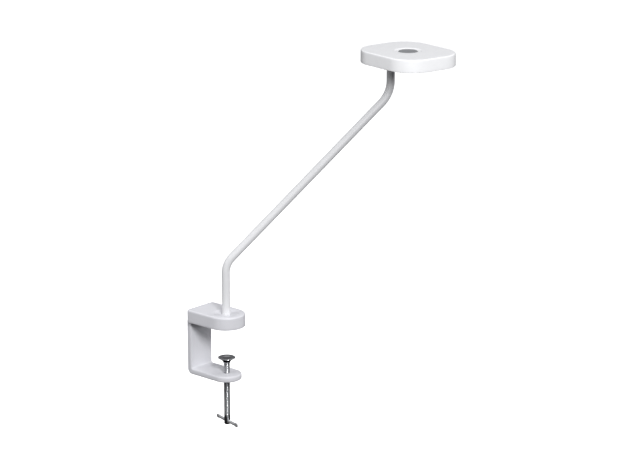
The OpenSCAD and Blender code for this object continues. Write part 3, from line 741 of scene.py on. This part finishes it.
def make_head():
    """The shell, with its swivel hub and the posts that its screws go into."""
    ceiling = head_top - HEAD_WALL
    hub_low, bush_low = head_top - 15.6 * MM, heights("hub_bush")[0]
    hub_r, cavity_r, hub_post_r, board_post_r = 14 * MM, 12.2 * MM, 3.4 * MM, 3 * MM
    hub = lathe("hub", [(cavity_r, hub_low), (hub_r, hub_low), (hub_r, ceiling), (BUSH_R, ceiling),
                        (BUSH_R, bush_low), (cavity_r, bush_low)], 72, closed=True)
    parts = [placed(hub, Matrix.Translation((SWIVEL_X, 0, 0)))]
    for turn in (90, 180, 270):
        place = on_circle(HUB_SCREW_R, math.radians(turn), 0)
        parts.append(screw_boss(SWIVEL_X + place.x, place.y, hub_low, ceiling, hub_post_r))
    bezel_top = heights("head_bezel")[1]
    spreader_top = heights("heat_spreader")[1]
    board_top = heights("dimmer_board")[1]
    for sign in (-1, 1):
        for x, y in BEZEL_SCREWS:
            parts.append(screw_boss(SWIVEL_X + x, sign * y, bezel_top, ceiling, depth=6 * MM))
        for x, y in SPREADER_SCREWS:
            parts.append(screw_boss(SWIVEL_X + x, sign * y, spreader_top, ceiling))
        for x, y in BOARD_SCREWS:
            parts.append(screw_boss(x, sign * y, board_top, ceiling, board_post_r))
    head = placed(joined(head_shell(), *parts), on_head)
    return piece(smooth(head), "head_shell", "head", "head_cover", "head_white")


def make_button():
    """The cap, slightly dished, with a flange under the head's top and a stem down to the switch."""
    low, high = heights("dimmer_button")
    r, stem_r, flange_r = BUTTON_R, 3 * MM, BUTTON_R + BUTTON_FLANGE
    flange_low, flange_high = head_top - 4.5 * MM, head_top - 3.3 * MM
    profile = eased([(AXIS_R, low, 0), (stem_r, low, 0.3 * MM), (stem_r, flange_low, 0),
                     (flange_r, flange_low, 0.2 * MM), (flange_r, flange_high, 0.2 * MM),
                     (r, flange_high, 0), (r, high, 1 * MM), (r - 2.4 * MM, high, 1.5 * MM),
                     (r - 5 * MM, high - 0.35 * MM, 4 * MM), (AXIS_R, high - 0.45 * MM, 0)], 6)
    button = placed(lathe("button", profile, 96), on_head)
    return piece(smooth(button, 40), "button_cap", "button", "dimmer_button")


make_bracket()
make_cover()
make_jaw_pad()
make_screw()
make_disc()
make_bar()
make_tube()
make_head()
make_button()


# ---- Stage: floor, light and camera ----

# Each room is (height of the direction, brightness)
FILL_ROOM = [(-1, 0.08), (-0.05, 0.1), (0.35, 0.6), (1, 0.5)]
MIRROR_ROOM = [(-1, 0.01), (-0.1, 0.03), (0.25, 0.18), (0.6, 0.6), (1, 0.8)]
STRIP_REACH = [(-0.6, 0.01), (-0.4, 0.9), (0.5, 0.9), (0.95, 0.4)]
STRIP_DIRECTION = (0.72, -0.69, 0)
STRIP_EDGE = (0.86, 0.97)
ROOM_BLUE = 1.02
WHITE = (1, 1, 1)

# Each softbox is (name, place, aim, (width, height), watts, whether polished metal mirrors it)
SOFTBOXES = [
    ("key", (1.9, -1.05, 1.25), (0.16, 0.2, 0.35), (0.6, 0.6), 45, True),
    ("right", (1.0, 2.2, 0.8), (0.2, 0.2, 0.4), (0.6, 0.8), 12, False),
    ("top", (0.1, 0.0, 2.2), (0.1, 0.1, 0.2), (1.2, 1.2), 6, False),
    ("left", (-1.1, -1.4, 0.9), (0.05, 0.05, 0), (0.8, 0.8), 8, False),
]

FLOOR_DROP = 60 * MM  # keeps the floor below the tommy bar with the clamp opened fully
FLOOR_R = 30
FLOOR_THICKNESS = 0.01

CAMERA_AZIMUTH = math.radians(41.79)
CAMERA_ELEVATION = math.radians(15.66)
CAMERA_DISTANCE = 3.8573
CAMERA_TARGET = Vector((0.0806, 0.1237, 0.1376))
CAMERA_LENS = 137.14


def make_floor():
    top = cad_box[0].z - FLOOR_DROP
    floor = rings_mesh("floor", [circle(FLOOR_R, z, 96) for z in (top - FLOOR_THICKNESS, top)])
    material, tree, shader = tree_of("pale_floor")
    tone = mixed(tree, noise(tree, 3), (0.93, 0.93, 0.935), (0.95, 0.95, 0.955))
    tree.links.new(tone, shader.inputs["Base Color"])
    shader.inputs["Roughness"].default_value = 0.9
    shader.inputs["Specular IOR Level"].default_value = 0
    shader.inputs["Emission Color"].default_value = (*WHITE, 1)
    shader.inputs["Emission Strength"].default_value = 0.6
    floor.data.materials.append(material)
    floor.visible_glossy = False
    floor.visible_diffuse = False


def height_ramp(tree, up, stops):
    """A grey that changes with a direction's height, from -1 straight down to 1 straight up."""
    ramp = tree.nodes.new("ShaderNodeValToRGB")
    tree.links.new(mapped(tree, up, (-1, 1)), ramp.inputs["Fac"])
    elements = ramp.color_ramp.elements
    for height, _ in stops[1:-1]:
        elements.new((height + 1) / 2)
    elements[0].position, elements[-1].position = (stops[0][0] + 1) / 2, (stops[-1][0] + 1) / 2
    for element, (_, value) in zip(elements, stops):
        element.color = (value, value, value * ROOM_BLUE, 1)
    return ramp.outputs["Color"]


def make_world():
    """White behind everything. As a light it is a soft room that is brighter above, and what polished
    metal mirrors is a dark room with one tall strip of light at the front."""
    world = bpy.data.worlds.new("studio")
    bpy.context.scene.world = world
    world.use_nodes = True
    tree = world.node_tree
    tree.nodes.clear()
    path = tree.nodes.new("ShaderNodeLightPath")
    direction = tree.nodes.new("ShaderNodeTexCoord").outputs["Generated"]
    up = height_of(tree, direction)
    facing = tree.nodes.new("ShaderNodeVectorMath")
    facing.operation = "DOT_PRODUCT"
    facing.inputs[1].default_value = STRIP_DIRECTION
    tree.links.new(direction, facing.inputs[0])
    strip = mapped(tree, facing.outputs["Value"], STRIP_EDGE, interpolation="SMOOTHSTEP")
    mirror = mixed(tree, strip, height_ramp(tree, up, MIRROR_ROOM), height_ramp(tree, up, STRIP_REACH))
    lit = mixed(tree, path.outputs["Is Glossy Ray"], height_ramp(tree, up, FILL_ROOM), mirror)
    seen = mixed(tree, path.outputs["Is Camera Ray"], lit, WHITE)
    background = tree.nodes.new("ShaderNodeBackground")
    output = tree.nodes.new("ShaderNodeOutputWorld")
    tree.links.new(seen, background.inputs["Color"])
    tree.links.new(background.outputs["Background"], output.inputs["Surface"])


def aimed(obj, place, direction):
    """Puts a light or the camera in the scene, its -Z along a direction."""
    obj.location = place
    obj.rotation_mode = "QUATERNION"
    obj.rotation_quaternion = direction.to_track_quat("-Z", "Y")
    bpy.context.scene.collection.objects.link(obj)


def add_softbox(name, place, aim, size, power, mirrored):
    light = bpy.data.lights.new(name, "AREA")
    light.shape = "RECTANGLE"
    light.size, light.size_y = size
    light.energy = power
    lamp = bpy.data.objects.new(name, light)
    lamp.visible_glossy = mirrored
    aimed(lamp, place, Vector(aim) - Vector(place))


def make_camera():
    camera = bpy.data.cameras.new("camera")
    camera.lens = CAMERA_LENS
    camera.sensor_width = 36
    camera.clip_start = 0.05
    camera.clip_end = 200
    eye = bpy.data.objects.new("camera", camera)
    level = math.cos(CAMERA_ELEVATION)
    back = Vector((math.sin(CAMERA_AZIMUTH) * level, -math.cos(CAMERA_AZIMUTH) * level,
                   math.sin(CAMERA_ELEVATION)))
    aimed(eye, CAMERA_TARGET + back * CAMERA_DISTANCE, -back)
    bpy.context.scene.camera = eye


make_floor()
make_world()
for softbox in SOFTBOXES:
    add_softbox(*softbox)
make_camera()
bpy.context.scene.view_settings.view_transform = "Standard"
